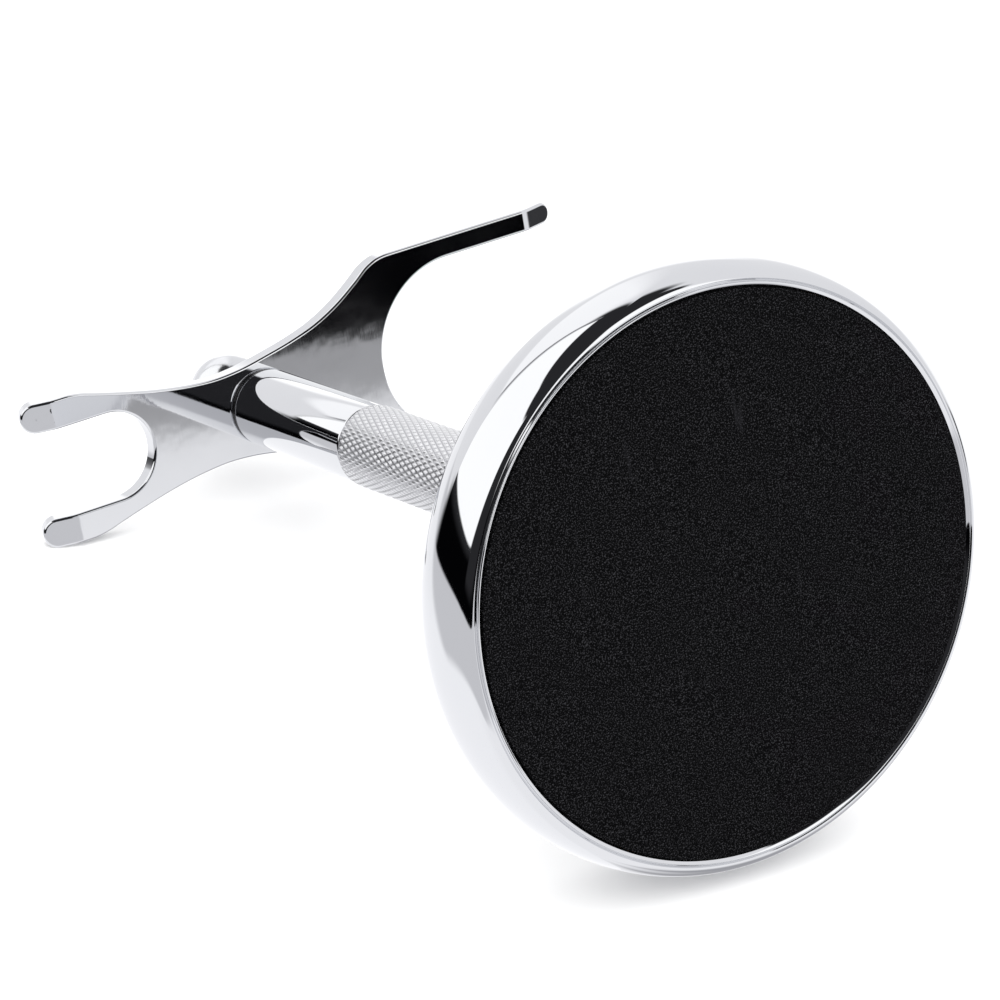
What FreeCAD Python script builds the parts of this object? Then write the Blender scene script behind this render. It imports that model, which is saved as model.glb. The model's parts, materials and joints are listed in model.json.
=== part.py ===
"""Razor and brush stand: weighted round base, knurled and smooth post, double-fork plate and ball knob.

All sizes in millimetres. +Z runs up the post, +X points to the wide brush fork, and the origin is the centre of
the base's underside. One STEP file is written for each separate piece.
"""

import FreeCAD, Part
import math
import os

V = FreeCAD.Vector
Z_UP = V(0, 0, 1)

# Base shell
LIP_BORE_R = 33.15
LIP_OUTER_R = 33.60
LIP_Z = 0.10
LIP_BEAD_H = 0.22
GROOVE_R = 33.68
GROOVE_Z = 0.42
SIDE_START_R = 33.85
SIDE_START_Z = 0.30
SHELL_R = 35.85
SHELL_BELLY_Z = 5.6
SHOULDER_R = 30.6
SHOULDER_RISE = 7.25
SHOULDER_END = math.radians(4)
CROWN_R = 7.2
CAVITY_WALL_Z = 7.0
CAVITY_TOP_R = 29.6
CAVITY_TOP_Z = 10.4

# The crown is an arc that leaves the shoulder's ellipse at its tangent and ends level at CROWN_R
SHOULDER_END_R = SHOULDER_R + (SHELL_R - SHOULDER_R) * math.sin(SHOULDER_END)
SHOULDER_END_Z = SHELL_BELLY_Z + SHOULDER_RISE * math.cos(SHOULDER_END)
CROWN_SLOPE = math.atan2(SHOULDER_RISE * math.sin(SHOULDER_END), (SHELL_R - SHOULDER_R) * math.cos(SHOULDER_END))
CROWN_Z = SHOULDER_END_Z + (SHOULDER_END_R - CROWN_R) * math.tan(CROWN_SLOPE / 2)

# Foam pad, adhesive film and backing board
PAD_R = 33.0
PAD_T = 2.0
PAD_EDGE = 0.2
ADHESIVE_R = 32.6
ADHESIVE_T = 0.15
BOARD_R = 33.0
BOARD_T = 1.5

# Cast ballast
BALLAST_R = 33.0
BALLAST_CHAMFER_R = 29.5
POCKET_R = 7.0
POCKET_TOP_Z = 8.0

# M5 thread, bolt, washers and nut
THREAD_R = 2.5
TAPPED_R = 2.55
CLEARANCE_R = 2.75
HEX_AF = 8.0
BOLT_HEAD_Z = 4.2
BOLT_HEAD_H = 3.0
BOLT_TIP_Z = 25.6
BOLT_TIP_CHAMFER = 0.5
WASHER_R = 5.0
WASHER_HOLE_R = 2.65
WASHER_T = 0.8
LOCK_R = 4.3
LOCK_T = 1.0
LOCK_GAP = 0.8
NUT_H = 2.7

# Seat washer under the post
SEAT_R = 5.7
SEAT_HOLE_R = 4.9
SEAT_T = 0.5

# Knurled grip
GRIP_R = 5.5
GRIP_BOTTOM_Z = CROWN_Z + SEAT_T
GRIP_TOP_Z = 82.0
GRIP_CHAMFER = 0.45
COUNTERBORE_R = 4.85
COUNTERBORE_TOP_Z = 18.4
GRIP_TAP_TOP_Z = 30.0
GRIP_STUD_HOLE_Z = 70.0

# Smooth tube, its plugs and the joining stud
TUBE_R = 5.25
TUBE_BORE_R = 4.0
TUBE_TOP_Z = 110.4
TUBE_CHAMFER = 0.25
PLUG_L = 12.0
UPPER_PLUG_L = 12.4
STUD_BOTTOM_Z = 71.0
STUD_TOP_Z = 93.0

# Fork plate
FORK_WASHER_R = 5.1
FORK_WASHER_HOLE_R = 2.6
FORK_Z = 111.0
FORK_T = 2.5
FORK_HOLE_R = 2.58
BRUSH_HALF_GAP = 12.5
BRUSH_HALF_WIDTH = 15.5
BRUSH_ARC_X = 31.2
BRUSH_BEND_X = 44.4
RAZOR_HALF_GAP = 6.0
RAZOR_HALF_WIDTH = 10.0
RAZOR_ARC_X = -23.4
RAZOR_BEND_X = -30.1
TIP_L = 5.0
TIP_ANGLE = 18.0
BEND_R = 3.0
WAIST = [
    (-28.6, 10.0), (-26.4, 9.75), (-24.0, 9.1), (-20.2, 8.1), (-15.0, 6.9), (-10.5, 6.2), (-6.8, 5.95),
    (-3.0, 6.2), (1.5, 7.0), (5.6, 7.9), (9.2, 9.0), (12.9, 10.75), (16.2, 12.9), (18.6, 14.6), (20.4, 15.3),
    (22.4, 15.5),
]

# Knob, its washer and stud
KNOB_WASHER_R = 4.9
KNOB_WASHER_T = 0.8
KNOB_BASE_Z = FORK_Z + FORK_T + KNOB_WASHER_T
KNOB_COLLAR_R = 4.4
KNOB_COLLAR_H = 1.2
KNOB_NECK_R = 3.5
KNOB_NECK_TOP_Z = 118.2
BALL_R = 5.4
BALL_Z = 122.0
KNOB_STUD_BOTTOM_Z = 103.2
KNOB_STUD_TOP_Z = 120.5
KNOB_HOLE_TOP_Z = 121.0


def cylinder(radius, low, high):
    """Solid cylinder on the Z axis between two heights."""
    return Part.makeCylinder(radius, high - low, V(0, 0, low), Z_UP)


def ring(outer, inner, low, high):
    """Flat ring on the Z axis between two heights."""
    return cylinder(outer, low, high).cut(cylinder(inner, low - 1, high + 1))


def hexagon(across_flats, low, high):
    """Hexagonal prism on the Z axis between two heights."""
    corner = across_flats / math.sqrt(3)
    pts = [V(corner * math.cos(a), corner * math.sin(a), low) for a in (math.radians(60 * i) for i in range(7))]
    return Part.Face(Part.makePolygon(pts)).extrude(V(0, 0, high - low))


def revolve(edges):
    """Solid of revolution of a closed profile in the XZ plane about Z."""
    return Part.Face(Part.Wire(Part.__sortEdges__(edges))).revolve(V(0, 0, 0), Z_UP, 360)


def line(a, b):
    """Straight profile edge between two (r, z) points."""
    return Part.makeLine(V(a[0], 0, a[1]), V(b[0], 0, b[1]))


def ellipse_arc(center, radius, rise, start, end):
    """Elliptical profile edge; angles run from the ellipse's top or bottom point out to its side, in radians."""
    cx, cz = center
    ellipse = Part.Ellipse(V(cx, 0, cz + rise), V(cx + radius, 0, cz), V(cx, 0, cz))
    return Part.ArcOfEllipse(ellipse, start, end).toShape()


def rod(radius, low, high, chamfer):
    """Threaded rod's envelope with chamfered ends."""
    pts = [
        (0, low), (radius - chamfer, low), (radius, low + chamfer),
        (radius, high - chamfer), (radius - chamfer, high), (0, high),
    ]
    return revolve([line(a, b) for a, b in zip(pts, pts[1:] + pts[:1])])


def base_shell():
    """Die-cast shell: beaded lip, round side wall, soft shoulder and a low crown around the post."""
    lower = ellipse_arc(
        (SIDE_START_R, SHELL_BELLY_Z), SHELL_R - SIDE_START_R, SIDE_START_Z - SHELL_BELLY_Z, 0, math.pi / 2
    )
    upper = ellipse_arc(
        (SHOULDER_R, SHELL_BELLY_Z), SHELL_R - SHOULDER_R, SHOULDER_RISE, SHOULDER_END, math.pi / 2
    )
    swing = (SHOULDER_END_R - CROWN_R) / math.sin(CROWN_SLOPE)
    half = CROWN_SLOPE / 2
    crown = Part.Arc(
        V(SHOULDER_END_R, 0, SHOULDER_END_Z),
        V(CROWN_R + swing * math.sin(half), 0, CROWN_Z - swing * (1 - math.cos(half))),
        V(CROWN_R, 0, CROWN_Z),
    ).toShape()
    middle = (LIP_BORE_R + LIP_OUTER_R) / 2
    bead = Part.Arc(
        V(LIP_BORE_R, 0, LIP_Z + LIP_BEAD_H), V(middle, 0, LIP_Z), V(LIP_OUTER_R, 0, LIP_Z + LIP_BEAD_H)
    ).toShape()
    inside = [
        (0, CROWN_Z), (0, CAVITY_TOP_Z), (CAVITY_TOP_R, CAVITY_TOP_Z), (LIP_BORE_R, CAVITY_WALL_Z),
        (LIP_BORE_R, LIP_Z + LIP_BEAD_H),
    ]
    edges = [
        bead,
        line((LIP_OUTER_R, LIP_Z + LIP_BEAD_H), (GROOVE_R, GROOVE_Z)),
        line((GROOVE_R, GROOVE_Z), (SIDE_START_R, SIDE_START_Z)),
        lower,
        upper,
        crown,
        line((CROWN_R, CROWN_Z), inside[0]),
    ] + [line(a, b) for a, b in zip(inside, inside[1:])]
    return revolve(edges).cut(cylinder(CLEARANCE_R, 0, 20))


def base_pad():
    """Foam disc with a softened rim, flush with the lip."""
    disc = cylinder(PAD_R, 0, PAD_T)
    rim = [e for e in disc.Edges if abs(e.BoundBox.ZMax) < 1e-6 and abs(e.BoundBox.XMax - PAD_R) < 1e-3]
    return disc.makeFillet(PAD_EDGE, rim)


def pad_adhesive():
    """Adhesive film between the foam and the board."""
    return cylinder(ADHESIVE_R, PAD_T, PAD_T + ADHESIVE_T)


def pad_board():
    """Hardboard disc behind the foam."""
    low = PAD_T + ADHESIVE_T
    return cylinder(BOARD_R, low, low + BOARD_T)


def base_ballast():
    """Cast iron disc that fills the shell, with a pocket for the bolt's head."""
    low = PAD_T + ADHESIVE_T + BOARD_T
    pts = [
        (0, low), (BALLAST_R, low), (BALLAST_R, CAVITY_WALL_Z), (BALLAST_CHAMFER_R, CAVITY_TOP_Z), (0, CAVITY_TOP_Z),
    ]
    disc = revolve([line(a, b) for a, b in zip(pts, pts[1:] + pts[:1])])
    return disc.cut(cylinder(POCKET_R, low - 1, POCKET_TOP_Z)).cut(cylinder(CLEARANCE_R, 0, 20))


def base_bolt():
    """Hex bolt from below, whose shank is the stud for the post."""
    head = hexagon(HEX_AF, BOLT_HEAD_Z, BOLT_HEAD_Z + BOLT_HEAD_H)
    shank = rod(THREAD_R, BOLT_HEAD_Z + 0.5, BOLT_TIP_Z, BOLT_TIP_CHAMFER)
    return head.fuse(shank).removeSplitter()


def bolt_washer():
    """Flat washer between the bolt's head and the ballast."""
    low = BOLT_HEAD_Z + BOLT_HEAD_H
    return ring(WASHER_R, WASHER_HOLE_R, low, low + WASHER_T)


def lock_washer():
    """Split spring washer on top of the shell."""
    washer = ring(LOCK_R, WASHER_HOLE_R, CROWN_Z, CROWN_Z + LOCK_T)
    return washer.cut(Part.makeBox(10, LOCK_GAP, 5, V(0, -LOCK_GAP / 2, CROWN_Z - 1)))


def jam_nut():
    """Thin nut that clamps the bolt, the ballast and the shell."""
    low = CROWN_Z + LOCK_T
    return hexagon(HEX_AF, low, low + NUT_H).cut(cylinder(THREAD_R, low - 1, low + NUT_H + 1))


def post_seat_washer():
    """Nylon ring between the post's foot and the base."""
    return ring(SEAT_R, SEAT_HOLE_R, CROWN_Z, CROWN_Z + SEAT_T)


def knurled_grip():
    """Knurled lower part of the post, as its crest cylinder, tapped at both ends."""
    body = rod(GRIP_R, GRIP_BOTTOM_Z, GRIP_TOP_Z, GRIP_CHAMFER)
    holes = [
        cylinder(COUNTERBORE_R, GRIP_BOTTOM_Z - 1, COUNTERBORE_TOP_Z),
        cylinder(TAPPED_R, GRIP_BOTTOM_Z - 1, GRIP_TAP_TOP_Z),
        cylinder(THREAD_R, GRIP_STUD_HOLE_Z, GRIP_TOP_Z + 1),
    ]
    for hole in holes:
        body = body.cut(hole)
    return body


def section_stud():
    """Threaded stud that joins the grip and the tube."""
    return rod(THREAD_R, STUD_BOTTOM_Z, STUD_TOP_Z, BOLT_TIP_CHAMFER)


def post_tube():
    """Smooth upper part of the post."""
    return rod(TUBE_R, GRIP_TOP_Z, TUBE_TOP_Z, TUBE_CHAMFER).cut(cylinder(TUBE_BORE_R, GRIP_TOP_Z - 1, TUBE_TOP_Z + 1))


def tube_plug_lower():
    """Tapped brass plug in the tube's lower end."""
    return ring(TUBE_BORE_R, THREAD_R, GRIP_TOP_Z, GRIP_TOP_Z + PLUG_L)


def tube_plug_upper():
    """Tapped brass plug in the tube's upper end, for the knob's stud."""
    return ring(TUBE_BORE_R, TAPPED_R, TUBE_TOP_Z - UPPER_PLUG_L, TUBE_TOP_Z)


def fork_seat_washer():
    """Thin nylon ring between the tube and the plate."""
    return ring(FORK_WASHER_R, FORK_WASHER_HOLE_R, TUBE_TOP_Z, FORK_Z)


def prong(bend_x, inner, outer):
    """Plan outline points of one fork's outer prong end, full round, from outer edge to inner edge."""
    side = 1 if bend_x > 0 else -1
    radius = (outer - inner) / 2
    center_x = bend_x + side * (TIP_L * math.cos(math.radians(TIP_ANGLE)) - radius)
    return center_x, center_x + side * radius, (inner + outer) / 2


def plate_outline():
    """Closed plan outline of the plate, both forks and both waists."""
    def arc(a, b, c):
        return Part.Arc(V(*a, 0), V(*b, 0), V(*c, 0)).toShape()

    def seg(a, b):
        return Part.makeLine(V(*a, 0), V(*b, 0))

    bx, btip, by = prong(BRUSH_BEND_X, BRUSH_HALF_GAP, BRUSH_HALF_WIDTH)
    rx, rtip, ry = prong(RAZOR_BEND_X, RAZOR_HALF_GAP, RAZOR_HALF_WIDTH)
    edges = []
    for s in (1, -1):
        waist = Part.BSplineCurve()
        waist.interpolate(
            Points=[V(x, s * y, 0) for x, y in WAIST], InitialTangent=V(1, 0, 0), FinalTangent=V(1, 0, 0)
        )
        edges += [
            waist.toShape(),
            seg((WAIST[-1][0], s * BRUSH_HALF_WIDTH), (bx, s * BRUSH_HALF_WIDTH)),
            arc((bx, s * BRUSH_HALF_WIDTH), (btip, s * by), (bx, s * BRUSH_HALF_GAP)),
            seg((bx, s * BRUSH_HALF_GAP), (BRUSH_ARC_X, s * BRUSH_HALF_GAP)),
            seg((WAIST[0][0], s * RAZOR_HALF_WIDTH), (rx, s * RAZOR_HALF_WIDTH)),
            arc((rx, s * RAZOR_HALF_WIDTH), (rtip, s * ry), (rx, s * RAZOR_HALF_GAP)),
            seg((rx, s * RAZOR_HALF_GAP), (RAZOR_ARC_X, s * RAZOR_HALF_GAP)),
        ]
    edges += [
        arc((BRUSH_ARC_X, BRUSH_HALF_GAP), (BRUSH_ARC_X - BRUSH_HALF_GAP, 0), (BRUSH_ARC_X, -BRUSH_HALF_GAP)),
        arc((RAZOR_ARC_X, RAZOR_HALF_GAP), (RAZOR_ARC_X + RAZOR_HALF_GAP, 0), (RAZOR_ARC_X, -RAZOR_HALF_GAP)),
    ]
    return Part.Wire(Part.__sortEdges__(edges))


def plate_side():
    """Side profile of the plate in the XZ plane: flat, with both ends bent up."""
    angle = math.radians(TIP_ANGLE)
    beyond = 2 * TIP_L

    def half(bend_x):
        side = 1 if bend_x > 0 else -1
        top, low = FORK_Z + FORK_T, FORK_Z
        center = (bend_x - side * BEND_R * math.tan(angle / 2), top + BEND_R)

        def on(radius, a):
            return V(center[0] + side * radius * math.sin(a), 0, center[1] - radius * math.cos(a))

        def past(radius):
            p = on(radius, angle)
            return V(p.x + side * beyond * math.cos(angle), 0, p.z + beyond * math.sin(angle))

        inner, outer = BEND_R, BEND_R + FORK_T
        return [
            Part.makeLine(V(0, 0, low), on(outer, 0)),
            Part.Arc(on(outer, 0), on(outer, angle / 2), on(outer, angle)).toShape(),
            Part.makeLine(on(outer, angle), past(outer)),
            Part.makeLine(past(outer), past(inner)),
            Part.makeLine(past(inner), on(inner, angle)),
            Part.Arc(on(inner, angle), on(inner, angle / 2), on(inner, 0)).toShape(),
            Part.makeLine(on(inner, 0), V(0, 0, top)),
        ]

    return Part.Wire(Part.__sortEdges__(half(BRUSH_BEND_X) + half(RAZOR_BEND_X)))


def fork_plate():
    """Polished double-fork plate, cut from sheet, with both pairs of prong ends bent up."""
    plan = Part.Face(plate_outline()).extrude(V(0, 0, 3 * FORK_T))
    plan.translate(V(0, 0, FORK_Z - 0.5))
    side = Part.Face(plate_side()).extrude(V(0, 4 * BRUSH_HALF_WIDTH, 0))
    side.translate(V(0, -2 * BRUSH_HALF_WIDTH, 0))
    plate = plan.common(side).removeSplitter()
    return plate.cut(cylinder(FORK_HOLE_R, FORK_Z - 1, FORK_Z + FORK_T + 1))


def knob_washer():
    """Thin washer under the knob."""
    return ring(KNOB_WASHER_R, FORK_HOLE_R, FORK_Z + FORK_T, KNOB_BASE_Z)


def knob():
    """Ball finial with a short collar and neck, drilled for its stud."""
    ball = Part.makeSphere(BALL_R, V(0, 0, BALL_Z))
    collar_top = KNOB_BASE_Z + KNOB_COLLAR_H
    pts = [
        (0, KNOB_BASE_Z), (KNOB_COLLAR_R - 0.2, KNOB_BASE_Z), (KNOB_COLLAR_R, KNOB_BASE_Z + 0.2),
        (KNOB_COLLAR_R, collar_top - 0.3), (KNOB_COLLAR_R - 0.3, collar_top), (KNOB_NECK_R, collar_top + 0.4),
        (KNOB_NECK_R, KNOB_NECK_TOP_Z), (0, KNOB_NECK_TOP_Z),
    ]
    foot = revolve([line(a, b) for a, b in zip(pts, pts[1:] + pts[:1])])
    body = ball.fuse(foot).removeSplitter()
    return body.cut(cylinder(THREAD_R, KNOB_BASE_Z - 1, KNOB_HOLE_TOP_Z))


def knob_stud():
    """Threaded stud held in the knob, through the plate into the upper plug."""
    return rod(THREAD_R, KNOB_STUD_BOTTOM_Z, KNOB_STUD_TOP_Z, BOLT_TIP_CHAMFER)


PIECES = [
    base_shell, base_ballast, base_bolt, bolt_washer, lock_washer, jam_nut, pad_board, pad_adhesive, base_pad,
    post_seat_washer, knurled_grip, section_stud, post_tube, tube_plug_lower, tube_plug_upper, fork_seat_washer,
    fork_plate, knob_washer, knob_stud, knob,
]

os.makedirs("parts", exist_ok=True)
for piece in PIECES:
    shape = piece()
    solids = shape.Solids
    print(piece.__name__, len(solids), shape.isValid(), round(shape.Volume, 1))
    (solids[0] if len(solids) == 1 else shape).exportStep("parts/" + piece.__name__ + ".step")
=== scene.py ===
"""Looks of a wet-shaving stand: weighted chrome base, knurled post, double-fork plate and ball knob.

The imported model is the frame. Pieces with a visible shape are rebuilt here as finer meshes, and every piece gets
the finish of its real material. Sizes in the dataclasses are millimetres; the scene is in metres.
"""

import json
import logging
import math
from collections.abc import Callable, Sequence
from dataclasses import dataclass
from enum import Enum

import bmesh
import bpy
from mathutils import Matrix, Vector

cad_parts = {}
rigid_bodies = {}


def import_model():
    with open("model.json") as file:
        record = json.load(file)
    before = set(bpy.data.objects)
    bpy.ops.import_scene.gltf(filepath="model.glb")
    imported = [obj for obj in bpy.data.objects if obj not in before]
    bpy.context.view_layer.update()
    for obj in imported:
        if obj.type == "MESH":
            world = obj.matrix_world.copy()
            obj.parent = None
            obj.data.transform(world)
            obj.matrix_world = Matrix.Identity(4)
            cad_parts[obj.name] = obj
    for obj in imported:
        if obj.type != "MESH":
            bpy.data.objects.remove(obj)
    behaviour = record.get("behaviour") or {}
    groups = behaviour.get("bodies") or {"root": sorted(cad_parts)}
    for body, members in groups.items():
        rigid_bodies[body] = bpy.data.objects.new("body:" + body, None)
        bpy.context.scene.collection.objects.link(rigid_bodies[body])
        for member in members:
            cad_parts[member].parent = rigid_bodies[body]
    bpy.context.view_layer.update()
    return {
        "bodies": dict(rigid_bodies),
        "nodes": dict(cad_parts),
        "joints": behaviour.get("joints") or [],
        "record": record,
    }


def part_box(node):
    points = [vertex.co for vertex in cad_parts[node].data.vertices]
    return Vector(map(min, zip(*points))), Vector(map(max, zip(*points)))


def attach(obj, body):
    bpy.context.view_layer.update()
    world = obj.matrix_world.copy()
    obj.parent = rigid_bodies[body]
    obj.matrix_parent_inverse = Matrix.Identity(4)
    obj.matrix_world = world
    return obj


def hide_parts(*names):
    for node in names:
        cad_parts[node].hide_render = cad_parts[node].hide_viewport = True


LOG = logging.getLogger("shaving_stand")
MM = 0.001
TINY = 1e-5
QUARTER = math.pi / 2
FINE_AROUND = 160
SMALL_AROUND = 96
CORNER_SHARE = 0.45
BEVEL_SEGMENTS = 2
BEVEL_OVER_DEG = 40.0
ALL_SMOOTH_DEG = 181.0
WHITE = (1.0, 1.0, 1.0, 1.0)

Point = tuple[float, float]
Radius = Callable[[float, float], float]
Ring = tuple[float | Radius, float]
Triple = tuple[float, float, float]
Colour = tuple[float, float, float, float]
Tree = bpy.types.NodeTree
Socket = bpy.types.NodeSocket
Piece = bpy.types.Object


class Body(Enum):
    """The bodies that pieces ride on."""

    BASE = "base"
    POST_CARRIER = "post_carrier"
    POST = "post"
    FORK = "fork"
    KNOB_CARRIER = "knob_carrier"
    KNOB = "knob"


def linear(code: str) -> Colour:
    """Turn an sRGB hex colour into a linear one.

    Args:
        code: Colour such as "#C8C8CA".

    Returns:
        Linear red, green, blue and an alpha of 1.
    """
    parts = [int(code[i : i + 2], 16) / 255 for i in (1, 3, 5)]
    red, green, blue = (c / 12.92 if c <= 0.04045 else ((c + 0.055) / 1.055) ** 2.4 for c in parts)
    return red, green, blue, 1.0


def add_node(
    tree: Tree, kind: str, sockets: dict[str | int, object] | None = None, **settings: object
) -> bpy.types.Node:
    """Add a node with its settings and inputs.

    Args:
        tree: Node tree that gets the node.
        kind: Blender's name of the node type, without ShaderNode.
        sockets: Inputs by name or number; a value is set, and an output socket is linked.
        settings: The node's own settings.

    Returns:
        The new node.
    """
    node = tree.nodes.new(f"ShaderNode{kind}")
    for name, value in settings.items():
        setattr(node, name, value)
    for name, value in (sockets or {}).items():
        if isinstance(value, Socket):
            tree.links.new(value, node.inputs[name])
        else:
            node.inputs[name].default_value = value
    return node


def noise(tree: Tree, place: Socket, size_mm: float, detail: float, rough: float = 0.5) -> Socket:
    """Return noise whose patches are about size_mm wide."""
    sockets = {"Vector": place, "Scale": 1 / (size_mm * MM), "Detail": detail, "Roughness": rough}
    return add_node(tree, "TexNoise", sockets).outputs["Fac"]


def stretched(tree: Tree, place: Socket, scale: Triple, turn_by: Triple) -> Socket:
    """Return a place that is turned and stretched, so that a pattern runs in streaks."""
    sockets = {"Vector": place, "Scale": scale, "Rotation": turn_by}
    return add_node(tree, "Mapping", sockets).outputs["Vector"]


def spread(tree: Tree, value: Socket, span: Point, to: Point = (0.0, 1.0), **settings: str) -> Socket:
    """Return a value with its span mapped to another range, and held between that range's ends."""
    sockets = {"Value": value, "From Min": span[0], "From Max": span[1], "To Min": to[0], "To Max": to[1]}
    return add_node(tree, "MapRange", sockets, **settings).outputs["Result"]


def blend(tree: Tree, share: Socket, low: Socket | Colour, high: Socket | Colour) -> Socket:
    """Return the colour that goes from low to high with share."""
    return add_node(tree, "Mix", {0: share, 6: low, 7: high}, data_type="RGBA").outputs[2]


def maths(tree: Tree, operation: str, *values: Socket | float) -> Socket:
    """Return the result of a math operation on one to three values."""
    return add_node(tree, "Math", dict(enumerate(values)), operation=operation).outputs[0]


def bumped(tree: Tree, height: Socket, depth_mm: float, under: Socket | None = None, strength: float = 1.0) -> Socket:
    """Return the normal of a surface with a pattern of heights, over the normal under it."""
    sockets = {"Height": height, "Distance": depth_mm * MM, "Strength": strength}
    if under is not None:
        sockets["Normal"] = under
    return add_node(tree, "Bump", sockets).outputs["Normal"]


@dataclass(frozen=True)
class Finish:
    """A real material with its surface treatment."""

    name: str
    colour: str  # Main sRGB colour
    second: str  # Colour that it varies to
    metallic: float  # 1 for metal, else 0
    roughness: Point  # Lowest and highest roughness
    patch_mm: float  # Size of the patches in which colour and roughness vary
    ripple_mm: float  # Size of the surface's unevenness
    ripple_depth_mm: float  # Height of that unevenness
    specular: float = 0.5  # Specular level of a material that isn't metal
    patch_span: Point = (0.3, 0.7)  # Part of the patches' noise over which the roughness varies

    def material(self) -> bpy.types.Material:
        """Return the finish's material, made once."""
        found = bpy.data.materials.get(self.name)
        if found:
            return found
        made = bpy.data.materials.new(self.name)
        made.use_nodes = True
        tree = made.node_tree
        tree.nodes.clear()
        place = add_node(tree, "TexCoord").outputs["Object"]
        patches = noise(tree, place, self.patch_mm, detail=4.0)
        sockets = {
            "Base Color": self.tone(tree, place, patches),
            "Metallic": self.metallic,
            "Roughness": spread(tree, patches, self.patch_span, self.roughness),
            "Specular IOR Level": self.specular,
            "Normal": self.relief(tree, place),
        }
        shader = add_node(tree, "BsdfPrincipled", sockets)
        add_node(tree, "OutputMaterial", {"Surface": shader.outputs["BSDF"]})
        return made

    def tone(self, tree: Tree, place: Socket, patches: Socket) -> Socket:
        """Return the colour at a place, which varies with the patches' noise."""
        return blend(tree, patches, linear(self.colour), linear(self.second))

    def relief(self, tree: Tree, place: Socket) -> Socket:
        """Return the normal of the uneven surface at a place."""
        return bumped(tree, noise(tree, place, self.ripple_mm, detail=2.0), self.ripple_depth_mm)


@dataclass(frozen=True)
class BuffedChrome(Finish):
    """Decorative chrome plate on a buffed part: a near mirror whose buffing leaves hairlines and a slow ripple."""

    hairline_mm: float = 0.35  # Spacing of the hairlines, drawn coarser than the real grit so that they show
    hairline_depth_mm: float = 0.0006  # Their depth
    hairline_scale: Triple = (1.0, 0.06, 0.5)  # How much closer they lie along each axis
    hairline_turn: Triple = (0.3, 0.2, 0.9)  # How they are turned, in radians

    def relief(self, tree: Tree, place: Socket) -> Socket:
        """Return the normal with the slow ripple and the hairlines."""
        streaks = stretched(tree, place, self.hairline_scale, self.hairline_turn)
        lines = noise(tree, streaks, self.hairline_mm, detail=3.0)
        return bumped(tree, lines, self.hairline_depth_mm, super().relief(tree, place))


@dataclass(frozen=True)
class PressedChrome(BuffedChrome):
    """Buffed chrome on a bent plate: the press leaves soft dents in the razor fork's turned-up ends."""

    dents_from_mm: Point = (-29.8, -31.0)  # Where the dents start along X, and where they are at their full depth
    dent_mm: float = 2.1  # Size of a dent
    dent_depth_mm: float = 0.055  # Its depth

    def relief(self, tree: Tree, place: Socket) -> Socket:
        """Return the normal with the dents over the hairlines."""
        along = add_node(tree, "SeparateXYZ", {0: place}).outputs["X"]
        start, full = self.dents_from_mm
        share = spread(tree, along, (start * MM, full * MM))
        dents = maths(tree, "MULTIPLY", noise(tree, place, self.dent_mm, detail=1.0), share)
        return bumped(tree, dents, self.dent_depth_mm, super().relief(tree, place))


@dataclass(frozen=True)
class KnurledChrome(Finish):
    """Chrome plate over cut knurling: crests in the plate's own colour, and grooves darkened by painted shade."""

    groove_r_mm: float = 5.36  # Radius of the knurl's grooves
    shade_end_r_mm: float = 5.444  # Radius from which the painted shade ends and the plate shows its crest colour
    groove: str = "#A9A9AD"  # sRGB colour of the painted shade in the grooves

    def tone(self, tree: Tree, place: Socket, patches: Socket) -> Socket:
        """Return the colour, with painted shade that darkens the grooves by their radius."""
        flat = add_node(tree, "VectorMath", {0: place, 1: (1.0, 1.0, 0.0)}, operation="MULTIPLY")
        radius = add_node(tree, "VectorMath", {0: flat.outputs["Vector"]}, operation="LENGTH")
        # Painted shade: the colour fades from the grooves' shade to the crests' colour between the two radii.
        height = spread(tree, radius.outputs["Value"], (self.groove_r_mm * MM, self.shade_end_r_mm * MM))
        return blend(tree, height, linear(self.groove), super().tone(tree, place, patches))


@dataclass(frozen=True)
class CellFoam(Finish):
    """Die-cut EVA foam: matt and almost black, with fine open cells whose glints are painted as light specks, and a
    few faint scuffs.
    """

    cell_mm: float = 0.17  # Size of a cell, drawn about twice as coarse as real EVA so that it shows
    cell_depth_mm: float = 0.012  # Depth of a cell
    cell_strength: float = 0.8  # Share of the cells' depth that shows
    painted_glint: str = "#38383B"  # sRGB colour of the painted glints on the cells' rims
    glint_span: Point = (0.52, 0.76)  # Part of the noise that makes a painted glint
    scuff: str = "#202023"  # sRGB colour of a scuff
    scuff_mm: float = 3.2  # Size of a scuff
    scuff_scale: Triple = (1.0, 0.16, 1.0)  # How much closer the scuffs lie along each axis
    scuff_turn: Triple = (0.0, 0.0, 0.5)  # How they are turned, in radians
    scuff_span: Point = (0.64, 0.74)  # Part of the noise that makes a scuff
    scuff_share: float = 0.55  # How much a scuff covers

    def tone(self, tree: Tree, place: Socket, patches: Socket) -> Socket:
        """Return the colour with the painted glints and the scuffs."""
        # Painted glints: light specks in the colour stand for light caught by the cells' rims.
        glint_share = spread(tree, noise(tree, place, self.cell_mm, detail=2.0), self.glint_span)
        glinted = blend(tree, glint_share, super().tone(tree, place, patches), linear(self.painted_glint))
        streaks = stretched(tree, place, self.scuff_scale, self.scuff_turn)
        rubbed = noise(tree, streaks, self.scuff_mm, detail=5.0, rough=0.6)
        scuffs = spread(tree, rubbed, self.scuff_span, (0.0, self.scuff_share))
        return blend(tree, scuffs, glinted, linear(self.scuff))

    def relief(self, tree: Tree, place: Socket) -> Socket:
        """Return the normal with the sheet's slow waves and its cells."""
        cells = add_node(tree, "TexVoronoi", {"Vector": place, "Scale": 1 / (self.cell_mm * MM)})
        waves = super().relief(tree, place)
        return bumped(tree, cells.outputs["Distance"], self.cell_depth_mm, waves, self.cell_strength)


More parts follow.
